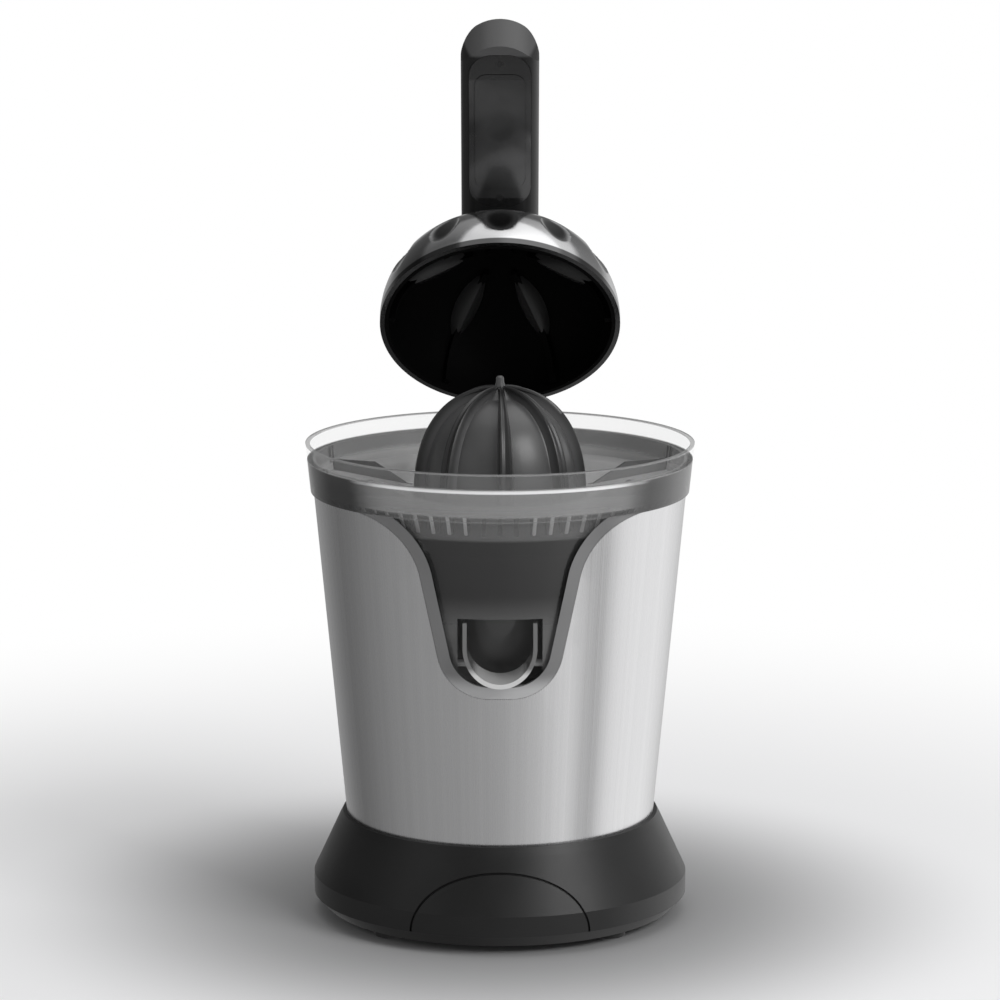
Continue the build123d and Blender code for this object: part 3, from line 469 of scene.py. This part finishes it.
def mendMesh(mesh, change=None):
    sketch = bmesh.new()
    sketch.from_mesh(mesh)
    bmesh.ops.remove_doubles(sketch, verts=sketch.verts, dist=weldGap)
    if change:
        change(sketch)
    bmesh.ops.recalc_face_normals(sketch, faces=sketch.faces)
    sketch.to_mesh(mesh)
    sketch.free()
    return mesh


def joinLoops(sketch, loops):
    for first, second in zip(loops, loops[1:]):
        for spot in range(len(first)):
            after = (spot + 1) % len(first)
            sketch.faces.new((first[spot], first[after], second[after], second[spot]))
    sketch.faces.new(loops[0])
    sketch.faces.new(loops[-1])


def ringPattern():
    board = newPattern("ringRepeat", {
        "Count": "NodeSocketInt", "Start": "NodeSocketFloat", "Free": "NodeSocketFloat",
        "Finish": "NodeSocketMaterial"})
    given = board.given
    index = board.add("GeometryNodeInputIndex", {}, {})
    points = board.add("GeometryNodePoints", {}, {"Count": given["Count"]})
    step = (2 * pi) / given["Count"]
    turn = index * step + given["Start"]
    aside = board.fn("MINIMUM", index, given["Count"] - index) * step
    spin = board.add("ShaderNodeCombineXYZ", {}, {2: turn})
    spin = board.add("FunctionNodeEulerToRotation", {}, {0: spin})
    kept = board.fn("GREATER_THAN", aside, given["Free"])  # leaves a gap on both sides of the start
    copies = board.add("GeometryNodeInstanceOnPoints", {}, {
        "Points": points, "Selection": kept, "Instance": given["Geometry"], "Rotation": spin})
    return closePattern(board, copies)


ringRepeat = ringPattern()


def gridSurface(board, around, along):
    grid = board.add("GeometryNodeMeshGrid", {}, {
        "Size X": 1.0, "Size Y": 1.0, "Vertices X": around, "Vertices Y": along})
    x, y, _ = board.axes(board.add("GeometryNodeInputPosition", {}, {}))
    return grid, (x + 0.5) * (2 * pi), y + 0.5


def markSurface(board, grid, name, value):
    return board.add("GeometryNodeStoreNamedAttribute", {"data_type": "FLOAT", "domain": "POINT"}, {
        "Geometry": grid, "Name": name, "Value": value})


def wrapSurface(board, grid, turn, radius, height):
    spot = board.add("ShaderNodeCombineXYZ", {}, {
        0: radius * board.fn("COSINE", turn), 1: radius * board.fn("SINE", turn), 2: height})
    bent = board.add("GeometryNodeSetPosition", {}, {"Geometry": grid, "Position": spot})
    return board.add("GeometryNodeMergeByDistance", {}, {"Geometry": bent, "Distance": seamGap})


def nearestArm(board, turn, count, start):
    share = (turn - start) * count / (2 * pi)
    off = board.fn("FRACT", share + 100.5) - 0.5  # whole turns are added so that the share is positive
    return board.fn("ABSOLUTE", off) * (2 * pi) / count


# Press dome: a fluted cup that follows one rule, with a plain inside
domeCup = {
    "radius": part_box("dome_shell")[1].x, "depth": 0.055, "wall": 0.0024, "mouth": leverShape["mouth"],
    "lip": 0.003, "lipShare": 0.06, "around": 385, "along": 110,
    "flutes": 12, "fluteDepth": 0.0019, "fluteMiddle": 1.19, "fluteReach": 0.25, "fluteHalf": 0.0080,
    "fluteRound": 0.6, "smoothAngle": radians(40.0)}


def domePattern():
    board = newPattern("flutedCup", {
        "Radius": "NodeSocketFloat", "Depth": "NodeSocketFloat", "Lip": "NodeSocketFloat",
        "Mouth": "NodeSocketFloat", "Flutes": "NodeSocketInt", "Flute depth": "NodeSocketFloat",
        "Finish": "NodeSocketMaterial"})
    given = board.given
    grid, turn, along = gridSurface(board, domeCup["around"], domeCup["along"])
    down = along * (1.0 + domeCup["lipShare"])  # past 1 it is the straight lip
    lean = board.fn("MINIMUM", down, 1.0) * (pi / 2)
    out, up = board.fn("SINE", lean), board.fn("COSINE", lean)
    drop = board.fn("MAXIMUM", down - 1.0, 0.0) / domeCup["lipShare"] * given["Lip"]
    radius = given["Radius"] * out
    height = given["Mouth"] + given["Lip"] + (given["Depth"] - given["Lip"]) * up - drop
    side = nearestArm(board, turn, given["Flutes"], 0.0) * radius / domeCup["fluteHalf"]
    reach = (lean - domeCup["fluteMiddle"]) / domeCup["fluteReach"]
    oval = board.fn("MAXIMUM", 1.0 - side * side - reach * reach, 0.0) ** domeCup["fluteRound"]
    hollow = oval * given["Flute depth"]
    # the flutes are stored for the painted shade in the dome's finish
    marked = markSurface(board, grid, "fluteShade", hollow / given["Flute depth"])
    return closePattern(board, wrapSurface(board, marked, turn, radius - hollow * out, height - hollow * up))


def rimOf(sketch, known):
    rim = [vert for vert in sketch.verts if vert.is_boundary and vert not in known]
    return sorted(rim, key=lambda vert: atan2(vert.co.y, vert.co.x))


def buildDome():
    pattern = domePattern()
    common = {
        "Lip": domeCup["lip"], "Mouth": domeCup["mouth"], "Flutes": domeCup["flutes"],
        "Finish": finishes["dome"]}
    outer = growMesh("domeOuter", pattern, {
        **common, "Radius": domeCup["radius"], "Depth": domeCup["depth"],
        "Flute depth": domeCup["fluteDepth"]})
    inner = growMesh("domeInner", pattern, {
        **common, "Radius": domeCup["radius"] - domeCup["wall"], "Depth": domeCup["depth"] - domeCup["wall"],
        "Flute depth": 0.0})
    mendMesh(inner)

    def closeLip(sketch):
        outerRim = rimOf(sketch, set())
        sketch.from_mesh(inner)
        innerRim = rimOf(sketch, set(outerRim))
        for spot, vert in enumerate(outerRim):
            sketch.faces.new((outerRim[spot - 1], vert, innerRim[spot], innerRim[spot - 1]))
    mesh = mendMesh(outer, closeLip)
    mesh.transform(leverTurn)
    standPiece("domeCrown", mesh, "dome", "lever", domeCup["smoothAngle"], ["dome_shell"])


# Reamer: ribs stand out of a superellipse core, under a small tip
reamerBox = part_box("reamer")
reamerTip = {
    "radius": 0.002, "height": 0.005, "steps": 32,
    # share of the tip's radius, and height over the crown
    "profile": [(0.0, -0.004), (1.5, -0.004), (1.2, 0.0005), (1.0, 0.0018), (0.92, 0.0042), (0.6, 0.0048),
                (0.0, 0.005)]}
reamerCone = {
    "radius": 0.043, "foot": reamerBox[0].z, "height": reamerBox[1].z - reamerBox[0].z - reamerTip["height"],
    "wall": 0.0016, "around": 481, "along": 84, "poleGap": 0.0004, "flatPower": 2.2, "risePower": 2.6,
    "ribs": 8, "ribDepth": 0.0050, "ribWidth": 0.0076, "ribFade": 0.012, "ribEdge": (0.7, 1.3),
    "ribTurn": radians(-86.0), "grooveReach": 0.55, "grooveDepth": 0.14, "smoothAngle": radians(38.0)}


def reamerPattern():
    board = newPattern("ribbedReamer", {
        "Radius": "NodeSocketFloat", "Height": "NodeSocketFloat", "Foot": "NodeSocketFloat",
        "Ribs": "NodeSocketInt", "Rib depth": "NodeSocketFloat", "Rib width": "NodeSocketFloat",
        "Finish": "NodeSocketMaterial"})
    given = board.given
    grid, turn, along = gridSurface(board, reamerCone["around"], reamerCone["along"])
    lean = board.fn("MINIMUM", along * (pi / 2), pi / 2 - reamerCone["poleGap"])
    flat, rise = board.fn("COSINE", lean), board.fn("SINE", lean)
    radius = given["Radius"] * flat ** (2 / reamerCone["flatPower"])
    height = given["Foot"] + given["Height"] * rise ** (2 / reamerCone["risePower"])
    aside = nearestArm(board, turn, given["Ribs"], reamerCone["ribTurn"]) * given["Radius"]
    side = aside / given["Rib width"] * 2
    rib = board.spread(side, *reamerCone["ribEdge"], 1.0, 0.0)
    groove = board.spread(side, 0.0, reamerCone["grooveReach"], reamerCone["grooveDepth"], 0.0)
    sink = given["Rib depth"] * (1.0 - rib + groove) * board.spread(radius, 0.0, reamerCone["ribFade"])
    # the ribs are stored for the painted shade in the reamer's finish
    marked = markSurface(board, grid, "ribShade", rib)
    return closePattern(board, wrapSurface(board, marked, turn, radius - sink * flat, height - sink * rise))


def turnedMesh(name, points, steps):
    sketch = bmesh.new()
    verts = [sketch.verts.new((radius, 0.0, height)) for radius, height in points]
    edges = [sketch.edges.new(pair) for pair in zip(verts, verts[1:])]
    bmesh.ops.spin(sketch, geom=verts + edges, axis=(0, 0, 1), cent=(0, 0, 0), angle=2 * pi, steps=steps)
    return mendMesh(meshOf(name, sketch))


def buildReamer():
    mesh = mendMesh(growMesh("reamerShell", reamerPattern(), {
        "Radius": reamerCone["radius"], "Height": reamerCone["height"], "Foot": reamerCone["foot"],
        "Ribs": reamerCone["ribs"], "Rib depth": reamerCone["ribDepth"], "Rib width": reamerCone["ribWidth"],
        "Finish": finishes["reamer"]}))
    crown = reamerCone["foot"] + reamerCone["height"]
    tip = turnedMesh("reamerTip", [
        (reamerTip["radius"] * share, crown + up) for share, up in reamerTip["profile"]], reamerTip["steps"])
    holder = placeObject("reamerHolder", mesh)
    wall = holder.modifiers.new("wall", "SOLIDIFY")
    wall.thickness = reamerCone["wall"]
    wall.offset = -1.0
    solid = takeMesh(holder)
    sketch = bmesh.new()
    sketch.from_mesh(solid)
    sketch.from_mesh(tip)
    sketch.to_mesh(solid)
    sketch.free()
    standPiece(
        "ribbedReamer", solid, "reamer", "spindle", reamerCone["smoothAngle"], ["reamer"])


# Leaf ribs inside the dome
leafRib = {
    "count": 6, "start": 0.0, "free": -1.0,  # the ring has no gap
    "length": 0.040, "width": 0.0135, "proud": 0.0062, "middle": 0.66, "linerWall": 0.0021, "rows": 24,
    "widthRound": 0.6, "proudRound": 0.4, "endShare": 0.04, "sunk": 0.0008, "shoulderOut": 0.8,
    "shoulderUp": 0.55, "smoothAngle": radians(50.0)}


def leafMesh():
    sketch = bmesh.new()
    inside = domeCup["wall"] + leafRib["linerWall"]
    radius = domeCup["radius"] - inside
    depth = domeCup["depth"] - domeCup["lip"] - inside
    reach = leafRib["length"] / radius
    loops = []
    for row in range(leafRib["rows"] + 1):
        share = row / leafRib["rows"]
        lean = leafRib["middle"] + (share - 0.5) * reach
        half = leafRib["width"] / 2 * max(sin(pi * share) ** leafRib["widthRound"], leafRib["endShare"])
        proud = leafRib["proud"] * max(sin(pi * share) ** leafRib["proudRound"], leafRib["endShare"])
        base = Vector((radius * sin(lean), 0.0, domeCup["mouth"] + domeCup["lip"] + depth * cos(lean)))
        inward = Vector((-sin(lean), 0.0, -cos(lean)))
        shoulder = half * leafRib["shoulderOut"], proud * leafRib["shoulderUp"]
        spots = [(-half, -leafRib["sunk"]), (-shoulder[0], shoulder[1]), (0.0, proud), shoulder,
                 (half, -leafRib["sunk"])]
        loops.append([sketch.verts.new(base + Vector((0.0, side, 0.0)) + inward * up) for side, up in spots])
    joinLoops(sketch, loops)
    return meshOf("leafRib", sketch)


def buildLeaves():
    mesh = mendMesh(growMesh("leafRibs", ringRepeat, {
        "Count": leafRib["count"], "Start": leafRib["start"], "Free": leafRib["free"],
        "Finish": finishes["leaf"]}, leafMesh()))
    mesh.transform(leverTurn)
    standPiece("linerLeaves", mesh, "leaf", "lever", leafRib["smoothAngle"])


# Pale teeth of the strainer, seen through the front wall
filterTooth = {
    "count": 62, "start": -pi / 2, "free": 0.14,  # a gap in the middle of the front
    "ring": 0.0800, "foot": 0.2055, "height": 0.0104, "width": 0.0017, "thick": 0.0014, "lean": 0.0042,
    "bevel": 0.0003, "smoothAngle": radians(35.0)}


def toothMesh():
    sketch = bmesh.new()
    half = filterTooth["width"] / 2
    loops = []
    for up, out in ((0.0, 0.0), (filterTooth["height"], filterTooth["lean"])):
        inner = filterTooth["ring"] + out
        outer = inner + filterTooth["thick"]
        corners = ((inner, -half), (outer, -half), (outer, half), (inner, half))
        loops.append([sketch.verts.new((across, side, filterTooth["foot"] + up)) for across, side in corners])
    joinLoops(sketch, loops)
    bmesh.ops.recalc_face_normals(sketch, faces=sketch.faces)
    bmesh.ops.bevel(sketch, geom=sketch.edges[:], offset=filterTooth["bevel"], segments=2, affect="EDGES")
    return meshOf("filterTooth", sketch)


def buildTeeth():
    mesh = growMesh("filterTeeth", ringRepeat, {
        "Count": filterTooth["count"], "Start": filterTooth["start"], "Free": filterTooth["free"],
        "Finish": finishes["tooth"]}, toothMesh())
    standPiece("filterTeeth", mendMesh(mesh), "tooth", "housing", filterTooth["smoothAngle"])


buildDome()
buildReamer()
buildLeaves()
buildTeeth()
print("detailed pieces stand")


# Studio
studio = {
    "floorSize": 40.0, "footprint": 0.09, "shadeReach": 0.27, "shadowColour": grey(0.34),
    "farColour": grey(0.86), "glowStart": 0.16, "glowEnd": 0.72, "worldLight": 0.45}
tentWall = {
    "radius": 5.0, "height": 8.0, "sides": 64, "glow": 1.2,
    # from behind, over the left, the front and the right, to behind again
    "around": [(0.0, 0.40), (0.10, 0.26), (0.16, 0.14), (0.24, 0.24), (0.32, 0.32), (0.40, 0.36), (0.5, 0.42),
               (0.58, 0.62), (0.64, 0.95), (0.69, 0.28), (0.73, 1.0), (0.86, 1.0), (0.94, 0.60), (1.0, 0.40)],
    # from under the table to over the object
    "upward": [(0.0, 0.5), (0.06, 0.5), (0.14, 1.0), (0.56, 1.0), (0.66, 0.3), (0.90, 0.25), (0.97, 0.9)]}
white = (1.0, 1.0, 1.0, 1.0)


def floorFinish():
    board = newBoard("paleFloor")
    x, y, _ = board.axes(board.place)
    away = board.fn("SQRT", x * x + y * y)
    # painted shadow round the object's foot, fading out into the pale floor
    shadowFade = board.spread(away, studio["footprint"], studio["shadeReach"])
    colour = board.blend(shadowFade, studio["shadowColour"], studio["farColour"])
    paint = board.add("ShaderNodeBsdfDiffuse", {}, {"Color": colour})
    glow = board.add("ShaderNodeEmission", {}, {"Color": white, "Strength": 1.0})
    fade = board.spread(away, studio["glowStart"], studio["glowEnd"])
    mixed = board.add("ShaderNodeMixShader", {}, {0: fade, 1: paint, 2: glow})
    board.add("ShaderNodeOutputMaterial", {}, {"Surface": mixed})
    return board.material


def buildFloor():
    half = studio["floorSize"] / 2
    mesh = bpy.data.meshes.new("floor")
    corners = [(-half, -half, 0.0), (half, -half, 0.0), (half, half, 0.0), (-half, half, 0.0)]
    mesh.from_pydata(corners, [], [(0, 1, 2, 3)])
    mesh.materials.append(floorFinish())
    floor = placeObject("floor", mesh)
    floor.visible_glossy = False  # metal shows the tent under the table line


def tentFinish():
    board = newBoard("reflectionTent")
    x, y, z = board.axes(board.place)
    around = board.spread(board.fn("ARCTAN2", x, -y), -pi, pi, smooth=False)
    upward = board.spread(z, -tentWall["height"] / 2, tentWall["height"] / 2, smooth=False)
    tone = board.add("ShaderNodeMix", {"data_type": "RGBA", "blend_type": "MULTIPLY"}, {
        0: 1.0, 6: board.ramp(around, tentWall["around"]), 7: board.ramp(upward, tentWall["upward"])}, 2)
    glow = board.add("ShaderNodeEmission", {}, {"Color": tone, "Strength": tentWall["glow"]})
    board.add("ShaderNodeOutputMaterial", {}, {"Surface": glow})
    return board.material


def buildTent():
    sketch = bmesh.new()
    bmesh.ops.create_cone(sketch, cap_ends=True, segments=tentWall["sides"], radius1=tentWall["radius"],
                          radius2=tentWall["radius"], depth=tentWall["height"])
    mesh = meshOf("tent", sketch)
    mesh.materials.append(tentFinish())
    tent = placeObject("tent", mesh)
    for ray in ("visible_camera", "visible_diffuse", "visible_shadow", "visible_transmission"):
        setattr(tent, ray, False)


def buildWorld():
    world = bpy.data.worlds.new("studio")
    bpy.context.scene.world = world
    world.use_nodes = True
    board = Board(world.node_tree)
    path = board.add("ShaderNodeLightPath", {}, {}).socket.node
    seen = Wire(board, path.outputs["Is Camera Ray"])
    for ray in ("Is Glossy Ray", "Is Transmission Ray"):
        seen = board.fn("MAXIMUM", seen, Wire(board, path.outputs[ray]))
    level = board.spread(seen, 0.0, 1.0, studio["worldLight"], 1.0, smooth=False)
    backdrop = board.add("ShaderNodeBackground", {}, {"Color": white, "Strength": level})
    board.add("ShaderNodeOutputWorld", {}, {"Surface": backdrop})


lampSet = {
    "keyRight": {"at": (1.5, -1.3, 1.5), "size": 1.1, "power": 27.0},
    "fillLeft": {"at": (-1.7, -1.2, 0.9), "size": 1.2, "power": 2.0},
    "topSoft": {"at": (0.2, 0.3, 2.2), "size": 2.2, "power": 14.0},
}
photoView = {
    "aim": (0.0, 0.0, 0.215), "distance": 2.2, "elevation": radians(10.28), "lens": 159.4, "sensor": 36.0,
    "shiftUp": -0.0132}


def lookAlong(item, direction):
    item.rotation_euler = direction.to_track_quat("-Z", "Y").to_euler()


def addLamp(name, lamp):
    light = bpy.data.lights.new(name, "AREA")
    light.shape = "SQUARE"
    light.size = lamp["size"]
    light.energy = lamp["power"]
    stand = placeObject(name, light)
    stand.location = lamp["at"]
    lookAlong(stand, Vector(photoView["aim"]) - Vector(lamp["at"]))


def addCamera():
    camera = bpy.data.cameras.new("photoCamera")
    camera.lens = photoView["lens"]
    camera.sensor_width = photoView["sensor"]
    camera.shift_y = photoView["shiftUp"]
    stand = placeObject("photoCamera", camera)
    tilt = photoView["elevation"]
    back = Vector((0.0, -cos(tilt), sin(tilt))) * photoView["distance"]
    stand.location = Vector(photoView["aim"]) + back
    lookAlong(stand, -back)
    bpy.context.scene.camera = stand


buildFloor()
buildTent()
buildWorld()
for lampName, lamp in lampSet.items():
    addLamp(lampName, lamp)
addCamera()
bpy.context.scene.view_settings.view_transform = "Standard"
print("studio set")
